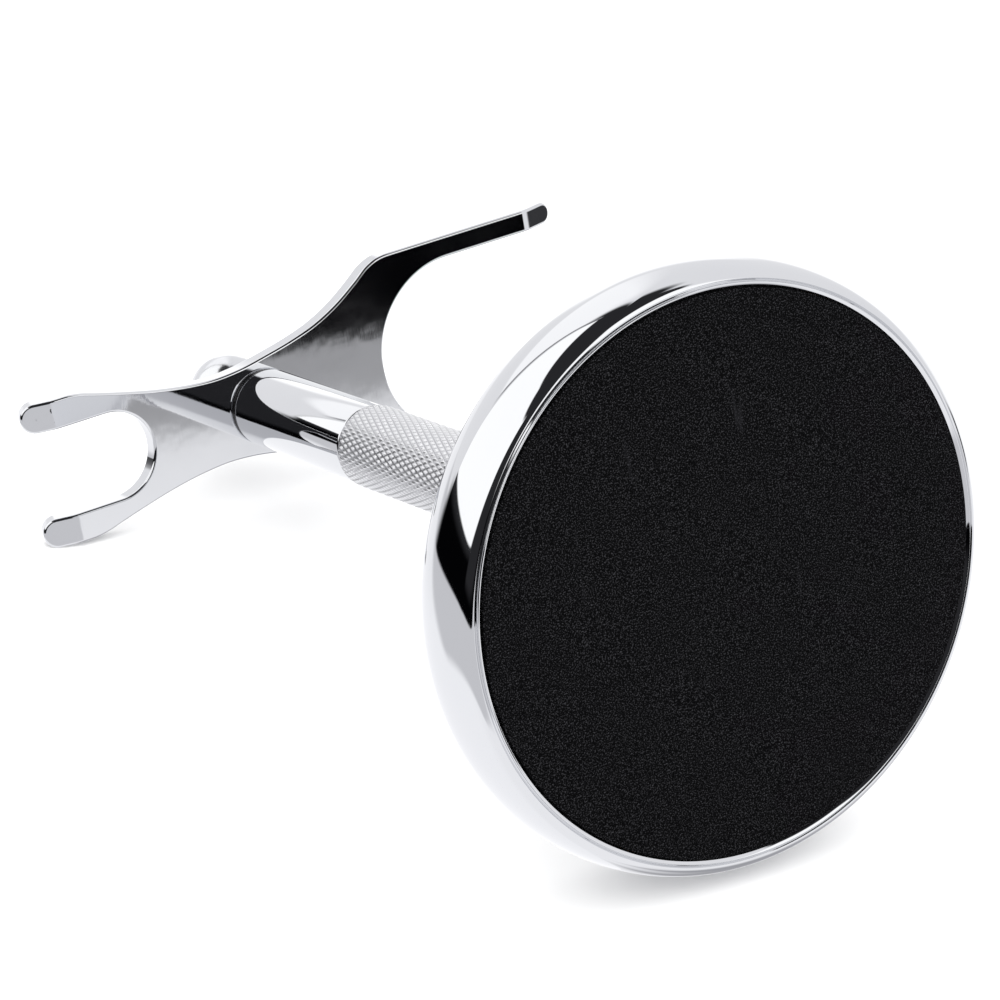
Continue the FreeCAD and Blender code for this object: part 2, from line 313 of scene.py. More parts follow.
# Chrome plate keeps a cool near-white. The buffed shell and the drawn tube ripple least, the pressed plate more.
CHROME = ("#DFE0E2", "#DADBDE", 1)
SHELL_CHROME = BuffedChrome("buffed_chrome_shell", *CHROME, (0.02, 0.045), 18, 9, 0.0015, hairline_depth_mm=0.0002)
PLATE_CHROME = PressedChrome("buffed_chrome_plate", *CHROME, (0.02, 0.05), 14, 5, 0.004, hairline_depth_mm=0.0012)
TUBE_CHROME = BuffedChrome("drawn_chrome_tube", *CHROME, (0.025, 0.05), 10, 8, 0.0005)
# The turned knob and the knurl keep more of their tool marks, so they shine less.
KNOB_CHROME = BuffedChrome("turned_chrome_knob", "#E2E3E5", "#DADBDE", 1, (0.13, 0.19), 6, 4, 0.0008)
GRIP_CHROME = KnurledChrome("knurled_chrome_grip", "#E6E6E8", "#DFE0E2", 1, (0.24, 0.34), 5, 1.2, 0.004)
# EVA foam swallows light; the glints of its cut cells are painted into its colour.
PAD_FOAM = CellFoam("eva_foam_pad", "#030304", "#060607", 0, (0.72, 0.9), 12, 3, 0.03, specular=0.03)
# Cast iron is dull and granular from the sand mould.
CAST_IRON = Finish("sand_cast_iron", "#4A4846", "#5B5754", 1, (0.55, 0.75), 4, 0.8, 0.05)
# Zinc plate is a softly shining blue-grey.
ZINC_STEEL = Finish("zinc_plated_steel", "#B9BDC2", "#A3A8AF", 1, (0.22, 0.36), 2, 0.6, 0.004)
# Turned brass is warm, with fine tool marks.
TURNED_BRASS = Finish("turned_brass", "#C9A35A", "#B8914A", 1, (0.18, 0.32), 2, 0.4, 0.004)
# Hardboard is pressed brown fibre with one smooth face.
HARDBOARD = Finish("pressed_hardboard", "#6B4A2E", "#83603F", 0, (0.6, 0.8), 1.5, 0.5, 0.03)
# Adhesive film is clear-yellow and slightly tacky-glossy.
ADHESIVE = Finish("adhesive_film", "#D9D2B4", "#CFC69F", 0, (0.3, 0.45), 6, 2, 0.01)
# Black moulded nylon keeps the sheen of its mould.
NYLON = Finish("moulded_nylon", "#161617", "#1E1E20", 0, (0.18, 0.28), 2, 0.8, 0.002)


class Slot(Enum):
    """Material slots of the record, each with its finish."""

    CHROME_BASE = ("chrome_base", SHELL_CHROME)
    CHROME_KNURL = ("chrome_knurl", GRIP_CHROME)
    CHROME_POST = ("chrome_post", TUBE_CHROME)
    CHROME_FORK = ("chrome_fork", PLATE_CHROME)
    CHROME_KNOB = ("chrome_knob", KNOB_CHROME)
    EVA = ("eva_foam", PAD_FOAM)
    IRON = ("ballast_iron", CAST_IRON)
    ZINC = ("zinc_steel", ZINC_STEEL)
    BRASS = ("turned_brass", TURNED_BRASS)
    BOARD = ("hardboard", HARDBOARD)
    GLUE = ("adhesive_film", ADHESIVE)
    POLYAMIDE = ("nylon", NYLON)


def finish_mesh(name: str, bm: bmesh.types.BMesh, sharp_deg: float = 35.0) -> Piece:
    """Turn a bmesh in millimetres into a smooth-shaded object in metres.

    Args:
        name: The piece's name.
        bm: Its mesh, freed here.
        sharp_deg: Edges that fold more than this stay crisp.

    Returns:
        The linked object.
    """
    bmesh.ops.remove_doubles(bm, verts=bm.verts, dist=TINY)
    bmesh.ops.recalc_face_normals(bm, faces=bm.faces)
    bmesh.ops.scale(bm, vec=(MM, MM, MM), verts=bm.verts)
    limit = math.radians(sharp_deg)
    for face in bm.faces:
        face.smooth = True
    for edge in bm.edges:
        edge.smooth = len(edge.link_faces) == 2 and edge.calc_face_angle(0) < limit
    mesh = bpy.data.meshes.new(name)
    bm.to_mesh(mesh)
    bm.free()
    obj = bpy.data.objects.new(name, mesh)
    bpy.context.scene.collection.objects.link(obj)
    return obj


def turn(bm: bmesh.types.BMesh, rings: Sequence[Ring], around: int, closed: bool = True) -> None:
    """Add a turned surface about Z.

    Args:
        bm: Mesh that gets it, in millimetres.
        rings: Radius and height of each ring; the radius may be a function of angle and height, and 0 is a pole.
        around: Points in each ring.
        closed: Whether the last ring joins the first.
    """
    made: list[list[bmesh.types.BMVert]] = []
    for radius, height in rings:
        if radius == 0:
            made.append([bm.verts.new((0, 0, height))])
            continue
        ring = []
        for i in range(around):
            angle = math.tau * i / around
            r = radius(angle, height) if callable(radius) else radius
            ring.append(bm.verts.new((r * math.cos(angle), r * math.sin(angle), height)))
        made.append(ring)
    pairs = list(zip(made, made[1:])) + ([(made[-1], made[0])] if closed else [])
    for low, high in pairs:
        for i in range(around):
            j = (i + 1) % around
            corners = [low[i % len(low)], low[j % len(low)], high[j % len(high)], high[i % len(high)]]
            face = list(dict.fromkeys(corners))
            if len(face) > 2:
                bm.faces.new(face)


def soft_corners(profile: Sequence[Point], radius: float, steps: int = 4) -> list[Point]:
    """Round every corner of a closed profile.

    Args:
        profile: Corners as radius and height.
        radius: How far from each corner the rounding starts.
        steps: Points in each rounding, less one.

    Returns:
        The rounded profile.
    """
    rounded: list[Point] = []
    for i, corner in enumerate(profile):
        here, before, after = Vector(corner), Vector(profile[i - 1]), Vector(profile[(i + 1) % len(profile)])
        back, on = before - here, after - here
        reach = min(radius, CORNER_SHARE * back.length, CORNER_SHARE * on.length)
        start, end = here + back.normalized() * reach, here + on.normalized() * reach
        for k in range(steps + 1):
            t = k / steps
            p = start * (1 - t) ** 2 + here * (2 * t * (1 - t)) + end * t**2
            rounded.append((p.x, p.y))
    return rounded


def arc(center: Point, radii: Point, start: float, end: float, steps: int) -> list[Point]:
    """Return points of an elliptic arc, its angles in radians from the side towards the top."""
    turns = [start + (end - start) * i / steps for i in range(steps + 1)]
    return [(center[0] + radii[0] * math.cos(t), center[1] + radii[1] * math.sin(t)) for t in turns]


def dress(obj: Piece, finish: Finish) -> None:
    """Give an object one finish."""
    obj.data.materials.clear()
    obj.data.materials.append(finish.material())


def mount(obj: Piece, body: Body, slot: Slot, *nodes: str) -> Piece:
    """Make a new piece ride on its body in place of CAD nodes.

    Args:
        obj: The new piece.
        body: Body that it rides on.
        slot: Material slot that it takes its finish from.
        nodes: CAD nodes that it stands for.

    Returns:
        The piece.
    """
    dress(obj, slot.value[1])
    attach(obj, body.value)
    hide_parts(*nodes)
    LOG.info("piece %s rides on %s", obj.name, body.value)
    return obj


def keep(frame: dict, node: str, slot: Slot, edge_mm: float = 0.0) -> None:
    """Dress a CAD solid that keeps its shape, with its edges broken if asked.

    Args:
        frame: The loaded frame.
        node: The solid's node.
        slot: Material slot that it takes its finish from.
        edge_mm: Width of the broken edges.
    """
    obj = frame["nodes"][node]
    dress(obj, slot.value[1])
    if edge_mm:
        bevel = obj.modifiers.new("broken_edges", "BEVEL")
        bevel.width, bevel.segments = edge_mm * MM, BEVEL_SEGMENTS
        bevel.angle_limit = math.radians(BEVEL_OVER_DEG)
        bevel.harden_normals = False
    LOG.info("node %s keeps its solid", node)


def height_range(node: str) -> Point:
    """Return a CAD node's lowest and highest z in millimetres."""
    low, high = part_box(node)
    return low.z / MM, high.z / MM


@dataclass
class Thread:
    """A right-hand metric thread."""

    major_r: float = 2.5  # Crest radius
    pitch: float = 0.8  # Rise of one turn
    depth: float = 0.45  # Depth of the groove
    chamfer: float = 0.5  # Chamfer at each end
    crest: float = 0.125  # Half of the flat crest, as a share of half a pitch
    flank: float = 0.8  # A flank, as a share of half a pitch
    around: int = 40  # Points in each ring
    per_pitch: int = 8  # Rings in each turn

    def rings(self, low: float, high: float) -> list[Ring]:
        """Return rings of the threaded rod between two heights, with a pole at each end."""

        def radius(angle: float, z: float) -> float:
            """Return the rod's radius at an angle and height."""
            across = abs((z / self.pitch - angle / math.tau) % 1 - 0.5) * 2
            sunk = min(max((across - self.crest) / self.flank, 0.0), 1.0)
            ends = self.major_r - self.chamfer + min(z - low, high - z)
            return min(self.major_r - self.depth * sunk, ends)

        count = round((high - low) / self.pitch * self.per_pitch)
        return [(0, low), *((radius, low + (high - low) * i / count) for i in range(count + 1)), (0, high)]

    def build(self, name: str, low: float, high: float) -> Piece:
        """Return a threaded rod between two heights."""
        bm = bmesh.new()
        turn(bm, self.rings(low, high), self.around, closed=False)
        return finish_mesh(name, bm, sharp_deg=80)


@dataclass
class WeightedBase:
    """The heavy round foot: chrome shell, foam pad and what they hide."""

    around: int = 400  # Points round the shell
    lip_bore_r: float = 32.88  # Inside of the lip
    lip_outer_r: float = 33.50  # Outside of the lip's bead
    lip_z: float = 0.10  # Lowest point of the bead
    bead_h: float = 0.3  # Height of the bead
    bead_crest: float = 0.1  # How far the bead's crest lies inside its outer edge
    bead_lean: Point = (0.06, 0.08)  # Width and height of the bead's leaning inside
    bead_brow: Point = (0.07, 0.015)  # How far inside the crest, and over its lowest point, the crest's flat starts
    groove: Point = (33.62, 0.5)  # Radius and height of the fine groove outside the bead
    side_start: Point = (33.85, 0.30)  # Radius and height where the side wall starts
    belly: Point = (35.85, 5.6)  # Largest radius and its height
    shoulder_r: float = 30.6  # Radius where the shoulder's ellipse would be level
    shoulder_rise: float = 7.25  # Height of that ellipse over the belly
    shoulder_end: float = math.radians(4)  # Angle short of the ellipse's top where the crown takes over
    crown_r: float = 7.2  # Radius of the flat seat on the crown
    cavity: tuple[Point, Point] = ((33.15, 7.0), (29.6, 10.4))  # Profile of the hollow, from its bore to its ceiling
    hole_r: float = 2.75  # Radius of the hole for the bolt
    # Steps along the bead, the side wall, the shoulder and the crown.
    steps: tuple[int, int, int, int] = (5, 28, 30, 16)
    pad_r: float = 32.84  # Radius of the foam pad
    pad_edge: float = 0.22  # Rounding of the pad's rim
    pad_rings: int = 40  # Rings from the pad's middle to its rim
    pad_wave: float = 0.015  # Height of the pad's slow unevenness
    wave_turns: Triple = (0.31, 0.27, 0.53)  # Radians in each millimetre of its waves along X, along Y and across both
    wave_lift: float = 1.6  # How far the waves lie over the rim's level, in wave heights
    head_h: float = 3.0  # Height of the bolt's head
    head_half: float = 4.0  # Half the width over its flats

    def bead(self) -> list[Point]:
        """Return the lip's bead, from its leaning inside over its crest to its outside."""
        crest, top = self.lip_outer_r - self.bead_crest, self.lip_z + self.bead_h
        lean = (self.lip_bore_r + self.bead_lean[0], top - self.bead_lean[1])
        brow = (crest - self.bead_brow[0], self.lip_z + self.bead_brow[1])
        outer = arc((crest, top), (self.bead_crest, -self.bead_h), QUARTER, 0, self.steps[0])
        return [(self.lip_bore_r, top), lean, brow, *outer]

    def wall(self, crown_z: float) -> list[Point]:
        """Return the outside over the groove: side wall, shoulder and crown, up to the seat at crown_z."""
        start, belly = self.side_start, self.belly
        side = arc((start[0], belly[1]), (belly[0] - start[0], start[1] - belly[1]), QUARTER, 0, self.steps[1])
        reach, end = belly[0] - self.shoulder_r, self.shoulder_end
        shoulder = arc((self.shoulder_r, belly[1]), (reach, self.shoulder_rise), 0, QUARTER - end, self.steps[2])
        slope = math.atan2(self.shoulder_rise * math.sin(end), reach * math.cos(end))
        swing = (shoulder[-1][0] - self.crown_r) / math.sin(slope)
        leans = [slope * (1 - i / self.steps[3]) for i in range(1, self.steps[3] + 1)]
        crown = [(self.crown_r + swing * math.sin(t), crown_z - swing * (1 - math.cos(t))) for t in leans]
        return [*side, *shoulder[1:], *crown]

    def shell(self) -> Piece:
        """Return the die-cast shell with its beaded lip and low crown."""
        crown_z = height_range("base_shell")[1]
        inside = [(self.hole_r, crown_z), (self.hole_r, self.cavity[1][1]), *reversed(self.cavity)]
        bm = bmesh.new()
        turn(bm, [*self.bead(), self.groove, *self.wall(crown_z), *inside], self.around)
        return finish_mesh("chrome_shell", bm)

    def wave(self, x: float, y: float) -> float:
        """Return the height of the pad's waves at x and y."""
        along, beside, across = self.wave_turns
        shift, cross_share = 1.0, 0.6
        weave = math.sin(along * x + shift) * math.cos(beside * y)
        return self.pad_wave * (weave + cross_share * math.sin(across * (x - y)))

    def pad(self) -> Piece:
        """Return the foam disc, with the slight waves of foam glued to a board."""
        low, high = height_range("base_pad")
        edge = self.pad_edge
        face = [(self.pad_r * (i / self.pad_rings), low) for i in range(1, self.pad_rings)]
        rim = arc((self.pad_r - edge, low + edge), (edge, -edge), QUARTER, 0, self.steps[0])
        back = [(self.pad_r, high), (self.pad_r / 2, high), (0, high)]
        bm = bmesh.new()
        turn(bm, [(0, low), *face, *rim, *back], FINE_AROUND, closed=False)
        for vert in bm.verts:
            if vert.co.z < low + TINY and vert.co.xy.length < self.pad_r - 2 * edge:
                vert.co.z += self.pad_wave * self.wave_lift + self.wave(vert.co.x, vert.co.y)
        return finish_mesh("foam_pad", bm)

    def bolt(self) -> Piece:
        """Return the hex bolt whose threaded end stands out of the crown."""
        low, high = height_range("base_bolt")
        top, corner = low + self.head_h, self.head_half / math.cos(math.pi / 6)
        inset, rise = 0.5, 0.3
        bm = bmesh.new()
        turn(bm, Thread().rings(top, high), Thread().around, closed=False)
        hexagon = [(0, low), (corner - inset, low), (corner, low + rise), (corner, top), (0, top)]
        turn(bm, hexagon, 6, closed=False)
        return finish_mesh("hex_bolt", bm, sharp_deg=50)

    def build(self, frame: dict) -> None:
        """Build and dress the foot's pieces.

        Args:
            frame: The loaded frame.
        """
        mount(self.shell(), Body.BASE, Slot.CHROME_BASE, "base_shell")
        pad = mount(self.pad(), Body.BASE, Slot.EVA, "base_pad")
        mount(self.bolt(), Body.BASE, Slot.ZINC, "base_bolt")
        keep(frame, "base_ballast", Slot.IRON, edge_mm=0.4)
        keep(frame, "bolt_washer", Slot.ZINC, edge_mm=0.08)
        keep(frame, "lock_washer", Slot.ZINC, edge_mm=0.08)
        keep(frame, "jam_nut", Slot.ZINC, edge_mm=0.2)
        keep(frame, "pad_board", Slot.BOARD, edge_mm=0.1)
        keep(frame, "pad_adhesive", Slot.GLUE)


@dataclass
class Post:
    """The post: knurled grip below, smooth tube above, and their stud, plugs and washers."""

    starts: int = 44  # Grooves of each hand round the grip
    period: float = 1.92  # Length along the grip in which a groove moves on by one start
    depth: float = 0.14  # Depth of the knurl
    steepness: float = 2.35  # Height that a groove's flank gains over one start's width
    grip_r: float = 5.5  # Crest radius
    chamfer: float = 0.45  # Chamfer at both ends of the grip
    per_start: int = 6  # Mesh steps in each start
    counterbore: Point = (4.85, 18.4)  # Radius and top height of the recess over the nut
    tapped: Point = (2.55, 30.0)  # Radius and top height of the lower thread's hole
    stud_hole: Point = (2.5, 70.0)  # Radius and lowest height of the upper hole
    tube_r: float = 5.25  # Outside radius of the tube
    tube_bore_r: float = 4.0  # Its bore
    tube_edge: float = 0.3  # Rounding of its ends

    def grip(self) -> Piece:
        """Return the grip with its cut diamond knurl."""
        low, high = height_range("knurled_grip")

        def radius(angle: float, z: float) -> float:
            """Return the grip's radius at an angle and height."""
            share, rise = self.starts * angle / math.tau, (z - low) / self.period
            gaps = [0.5 - abs((share + hand * rise) % 1 - 0.5) for hand in (1, -1)]
            height = min(1.0, self.steepness * min(gaps))
            ends = self.grip_r - self.chamfer + min(z - low, high - z)
            return min(self.grip_r - self.depth * (1 - height), ends)

        count = round((high - low) / self.period * self.per_start)
        knurl: list[Ring] = [(radius, low + (high - low) * i / count) for i in range(count + 1)]
        bore, tap, hole = self.counterbore, self.tapped, self.stud_hole
        top = [(hole[0], high), hole, (0, hole[1])]
        foot = [(0, tap[1]), tap, (tap[0], bore[1]), bore, (bore[0], low)]
        bm = bmesh.new()
        turn(bm, [*foot, *knurl, *top], self.starts * self.per_start, closed=False)
        return finish_mesh("knurled_handle", bm, sharp_deg=28)

    def tube(self) -> Piece:
        """Return the smooth tube with rounded ends."""
        low, high = height_range("post_tube")
        profile = [(self.tube_bore_r, low), (self.tube_r, low), (self.tube_r, high), (self.tube_bore_r, high)]
        bm = bmesh.new()
        turn(bm, soft_corners(profile, self.tube_edge), FINE_AROUND)
        return finish_mesh("smooth_tube", bm)

    def build(self, frame: dict) -> None:
        """Build and dress the post's pieces.

        Args:
            frame: The loaded frame.
        """
        mount(self.grip(), Body.POST, Slot.CHROME_KNURL, "knurled_grip")
        mount(self.tube(), Body.POST, Slot.CHROME_POST, "post_tube")
        stud = Thread().build("joining_stud", *height_range("section_stud"))
        mount(stud, Body.POST, Slot.ZINC, "section_stud")
        seat = washer("seat_ring", "post_seat_washer", outer=5.7, inner=4.9)
        mount(seat, Body.POST_CARRIER, Slot.POLYAMIDE, "post_seat_washer")
        ring = washer("fork_ring", "fork_seat_washer", outer=5.1, inner=2.6)
        mount(ring, Body.POST, Slot.POLYAMIDE, "fork_seat_washer")
        keep(frame, "tube_plug_lower", Slot.BRASS)
        keep(frame, "tube_plug_upper", Slot.BRASS)


def washer(name: str, node: str, outer: float, inner: float, edge: float = 0.12) -> Piece:
    """Return a washer with rounded edges at a CAD node's height.

    Args:
        name: The piece's name.
        node: Node that gives its height.
        outer: Outside radius.
        inner: Hole radius.
        edge: Rounding of its edges.

    Returns:
        The washer.
    """
    low, high = height_range(node)
    profile = [(inner, low), (outer, low), (outer, high), (inner, high)]
    bm = bmesh.new()
    turn(bm, soft_corners(profile, edge), SMALL_AROUND)
    return finish_mesh(name, bm)


@dataclass(frozen=True)
class Prong:
    """One fork of the plate."""

    side: int  # 1 where the fork points to +X, else -1
    half_gap: float  # Half of its opening
    half_width: float  # Half of its width
    throat_x: float  # Centre of the throat's round end
    bend_x: float  # Where the ends turn up
    tip_x: float  # How far the ends reach, at half their thickness


@dataclass
class ForkPlate:
    """The polished plate with a wide fork for the brush and a narrow one for the razor."""

    # The wide fork and the narrow one.
    brush: Prong = Prong(1, half_gap=12.5, half_width=15.5, throat_x=31.2, bend_x=44.4, tip_x=48.86)
    razor: Prong = Prong(-1, half_gap=6.0, half_width=10.0, throat_x=-23.4, bend_x=-30.1, tip_x=-34.56)
    # Points of the side outline between the forks, as distance along X and half width.
    waist: tuple[Point, ...] = (
        (-28.6, 10.0), (-26.4, 9.75), (-24.0, 9.1), (-20.2, 8.1), (-15.0, 6.9), (-10.5, 6.2), (-6.8, 5.95),
        (-3.0, 6.2), (1.5, 7.0), (5.6, 7.9), (9.2, 9.0), (12.9, 10.75), (16.2, 12.9), (18.6, 14.6), (20.4, 15.3),
        (22.4, 15.5),
    )  # fmt: skip
    thickness: float = 2.5
    hole_r: float = 2.58  # Radius of the hole for the knob's stud
    edge: float = 0.35  # Rounding of the buffed edges
    bend_r: float = 3.0  # Inside radius of the bends
    bend: float = math.radians(18)  # Angle of the bends
    bend_ribs: int = 8  # Steps round a bend
    rib: float = 0.6  # Longest step along the outline
    edge_steps: int = 5  # Steps round a buffed edge
    waist_steps: int = 6  # Steps between two points of the waist
    throat_steps: int = 24  # Steps round half a throat
    tip_steps: int = 14  # Steps round a prong's end
    hole_steps: int = 64
    facing: str = "facing"  # Mesh layer that holds the true direction of each point's surface

    def bend_at(self, prong: Prong) -> Point:
        """Return where a prong's bend starts along X, and the bend's radius at half the sheet's thickness."""
        return abs(prong.bend_x) - self.bend_r * math.tan(self.bend / 2), self.bend_r + self.thickness / 2

    def unrolled_tip(self, prong: Prong) -> float:
        """Return how far a prong reaches before it is bent."""
        start, mid = self.bend_at(prong)
        straight = (abs(prong.tip_x) - start - mid * math.sin(self.bend)) / math.cos(self.bend)
        return prong.side * (start + mid * self.bend + straight)

    def waist_curve(self) -> list[Point]:
        """Return close points of the smooth curve through the waist's points."""
        pts = [Vector(p) for p in self.waist]
        level = Vector((1.0, 0.0))
        slopes = [level]
        for i, p in enumerate(pts[1:-1]):
            before, after = p - pts[i], pts[i + 2] - p
            mixed = before.normalized() * after.length + after.normalized() * before.length
            slopes.append(mixed.normalized())
        slopes.append(level)
        curve: list[Point] = []
        for i, (a, b) in enumerate(zip(pts, pts[1:])):
            reach = (b - a).length
            for k in range(self.waist_steps):
                t = k / self.waist_steps
                h00, h10 = 2 * t**3 - 3 * t**2 + 1, t**3 - 2 * t**2 + t
                h01, h11 = -2 * t**3 + 3 * t**2, t**3 - t**2
                p = a * h00 + slopes[i] * (h10 * reach) + b * h01 + slopes[i + 1] * (h11 * reach)
                curve.append((p.x, p.y))
        curve.append(self.waist[-1])
        return curve

    def half_outline(self) -> list[Point]:
        """Return the outline's half with positive Y, from the wide throat round to the narrow one."""
        half: list[Point] = []
        for prong in (self.brush, self.razor):
            radius = (prong.half_width - prong.half_gap) / 2
            end = self.unrolled_tip(prong) - prong.side * radius
            middle = (prong.half_width + prong.half_gap) / 2
            radii = (-prong.side * prong.half_gap, prong.half_gap)
            throat = arc((prong.throat_x, 0), radii, 0, QUARTER, self.throat_steps)
            tip = arc((end, middle), (prong.side * radius, radius), -QUARTER, QUARTER, self.tip_steps)
            run = [*throat, *self.between(throat[-1], tip[0]), *tip]
            if prong is self.brush:
                half = [*run, *self.between(run[-1], self.waist[-1]), *reversed(self.waist_curve())]
            else:
                half += [*self.between(half[-1], run[-1]), *reversed(run)]
        return half

    def between(self, a: Point, b: Point) -> list[Point]:
        """Return the points between two ends of a straight edge."""
        count = max(1, round(math.dist(a, b) / self.rib))
        return [(a[0] + (b[0] - a[0]) * i / count, a[1] + (b[1] - a[1]) * i / count) for i in range(1, count)]

    def bent(self, x: float, up: float) -> Point:
        """Move a point of the flat sheet to its place on the bent one.

        Args:
            x: Distance along the flat sheet.
            up: Height over the sheet's underside.

        Returns:
            The bent point's x and height over the underside.
        """
        prong = self.brush if x > 0 else self.razor
        start, mid = self.bend_at(prong)
        past = abs(x) - start
        if past <= 0:
            return x, up
        turned = min(past / mid, self.bend)
        beyond = past - turned * mid
        radius = self.bend_r + self.thickness - up
        out = start + radius * math.sin(turned) + beyond * math.cos(turned)
        rise = self.thickness + self.bend_r - radius * math.cos(turned) + beyond * math.sin(turned)
        return prong.side * out, rise

    def turned(self, x: float) -> float:
        """Return the angle by which the sheet has turned up at x, negative on the narrow fork's side."""
        prong = self.brush if x > 0 else self.razor
        start, mid = self.bend_at(prong)
        return prong.side * min(max((abs(x) - start) / mid, 0.0), self.bend)

    def outline(self) -> tuple[list[Vector], list[Vector]]:
        """Return the plate's outline and, at each of its points, the direction into the plate."""
        half = self.half_outline()
        ring = [Vector(p) for p in (*half, *((x, -y) for x, y in reversed(half[1:-1])))]
        area = sum(a.x * b.y - b.x * a.y for a, b in zip([ring[-1], *ring], ring))
        hand = 1 if area > 0 else -1
        inward = []
        for before, after in zip([ring[-1], *ring], [*ring[1:], ring[0]]):
            along = (after - before).normalized()
            inward.append(Vector((-along.y, along.x)) * hand)
        return ring, inward

    def flat_sheet(self) -> bmesh.types.BMesh:
        """Return the flat plate with its hole and buffed edges, and the direction of its surface in a layer."""
        circle = [math.tau * i / self.hole_steps for i in range(self.hole_steps)]
        hole = [Vector((self.hole_r * math.cos(t), self.hole_r * math.sin(t))) for t in circle]
        leans = [QUARTER * i / self.edge_steps for i in range(self.edge_steps + 1)]
        lower = [(t, self.edge * (1 - math.sin(t)), self.edge * (1 - math.cos(t))) for t in leans]
        upper = [(math.pi - t, shift, self.thickness - height) for t, shift, height in reversed(lower)]
        bm = bmesh.new()
        facing = bm.verts.layers.float_vector.new(self.facing)
        rims: tuple[list, list] = ([], [])
        for path, inward, edge_share in ((*self.outline(), 1.0), (hole, [p.normalized() for p in hole], 0.5)):
            made = []
            for lean, shift, height in (*lower, *upper):
                row = []
                for p, a in zip(path, inward):
                    vert = bm.verts.new((*(p + a * shift * edge_share), height))
                    vert[facing] = (*(-a * math.sin(lean)), -math.cos(lean))
                    row.append(vert)
                made.append(row)
            for low, high in zip(made, made[1:]):
                for i in range(len(path)):
                    j = (i + 1) % len(path)
                    bm.faces.new((low[i], low[j], high[j], high[i]))
            for rim, row in zip(rims, (made[0], made[-1])):
                rim += [bm.edges.get(pair) for pair in zip(row, [*row[1:], row[0]])]
        for rim in rims:
            bmesh.ops.triangle_fill(bm, use_beauty=True, use_dissolve=False, edges=rim)
        return bm

    def plate(self) -> Piece:
        """Return the plate, bent from the flat sheet."""
        base_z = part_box("fork_plate")[0].z / MM
        bm = self.flat_sheet()
        for prong in (self.brush, self.razor):
            start, mid = self.bend_at(prong)
            for k in range(self.bend_ribs + 1):
                cut = (prong.side * (start + mid * self.bend * k / self.bend_ribs), 0, 0)
                parts = [*bm.verts, *bm.edges, *bm.faces]
                bmesh.ops.bisect_plane(bm, geom=parts, dist=TINY, plane_co=cut, plane_no=(1, 0, 0))
        facing = bm.verts.layers.float_vector[self.facing]
        for vert in bm.verts:
            (x, up), turned = self.bent(vert.co.x, vert.co.z), self.turned(vert.co.x)
            vert.co = (x, vert.co.y, base_z + up)
            vert[facing] = Matrix.Rotation(-turned, 3, "Y") @ vert[facing]
        obj = finish_mesh("double_fork", bm, ALL_SMOOTH_DEG)
        normals = obj.data.attributes[self.facing]
        obj.data.normals_split_custom_set_from_vertices([n.vector.normalized() for n in normals.data])
        # Setting the normals moves the layer, so it is looked up again.
        obj.data.attributes.remove(obj.data.attributes[self.facing])
        return obj

    def build(self) -> None:
        """Build and dress the plate."""
        mount(self.plate(), Body.FORK, Slot.CHROME_FORK, "fork_plate")


@dataclass
class BallKnob:
    """The ball finial that clamps the plate."""

    ball_r: float = 5.4
    collar_r: float = 4.4
    collar_h: float = 1.2
    neck_r: float = 3.5
    neck_flare: float = 0.25  # How much wider the neck is at both ends
    hole: Point = (2.5, 121.0)  # Radius and top height of the stud's hole
    ball_steps: int = 48  # Steps from the neck to the ball's top

    def knob(self) -> Piece:
        """Return the turned knob."""
        low, high = height_range("knob")
        collar, start = low + self.collar_h, -math.acos((self.neck_r + self.neck_flare) / self.ball_r)
        ball = arc((0, high - self.ball_r), (self.ball_r, self.ball_r), start, QUARTER, self.ball_steps)
        lower_edge, upper_edge = ((0.2, 0.0), (0.06, 0.06), (0.0, 0.2)), ((0.0, 0.3), (0.08, 0.1), (0.3, 0.0))
        neck_start, neck_end = ((self.neck_flare, 0.15), (0.05, 0.3), (0.0, 0.5)), ((0.0, 0.45), (0.08, 0.18))
        foot = [
            *((self.collar_r - inset, low + rise) for inset, rise in lower_edge),
            *((self.collar_r - inset, collar - drop) for inset, drop in upper_edge),
            *((self.neck_r + flare, collar + rise) for flare, rise in neck_start),
            *((self.neck_r + flare, ball[0][1] - drop) for flare, drop in neck_end),
        ]
        rings = [(0, self.hole[1]), self.hole, (self.hole[0], low), *foot, *ball[:-1], (0, high)]
        bm = bmesh.new()
        turn(bm, rings, SMALL_AROUND, closed=False)
        return finish_mesh("ball_knob", bm)

    def build(self) -> None:
        """Build and dress the knob, its stud and its washer."""
        mount(self.knob(), Body.KNOB, Slot.CHROME_KNOB, "knob")
        stud = Thread().build("knob_thread", *height_range("knob_stud"))
        mount(stud, Body.KNOB, Slot.ZINC, "knob_stud")
        ring = washer("knob_ring", "knob_washer", outer=4.9, inner=2.58)
        mount(ring, Body.KNOB_CARRIER, Slot.CHROME_KNOB, "knob_washer")


@dataclass(frozen=True)
class Edge:
    """One soft side of a studio panel: inside it, across * longitude + up * latitude is over offset, in degrees."""

    across: float
    up: float
    offset: float
    soft: float = 1.0  # Half the width over which it fades


def above(latitude: float, slope: float = 0.0, soft: float = 1.0) -> Edge:
    """Return the lower side of a panel, which rises by slope with each degree of longitude."""
    return Edge(-slope, 1, latitude, soft)


def below(latitude: float, slope: float = 0.0, soft: float = 1.0) -> Edge:
    """Return the upper side of a panel, which rises by slope with each degree of longitude."""
    return Edge(slope, -1, -latitude, soft)


def right_of(longitude: float, lean: float = 0.0, soft: float = 1.0) -> Edge:
    """Return the left side of a panel, which moves left by lean with each degree of latitude."""
    return Edge(1, lean, longitude, soft)


def left_of(longitude: float, lean: float = 0.0, soft: float = 1.0) -> Edge:
    """Return the right side of a panel, which moves left by lean with each degree of latitude."""
    return Edge(-1, -lean, -longitude, soft)


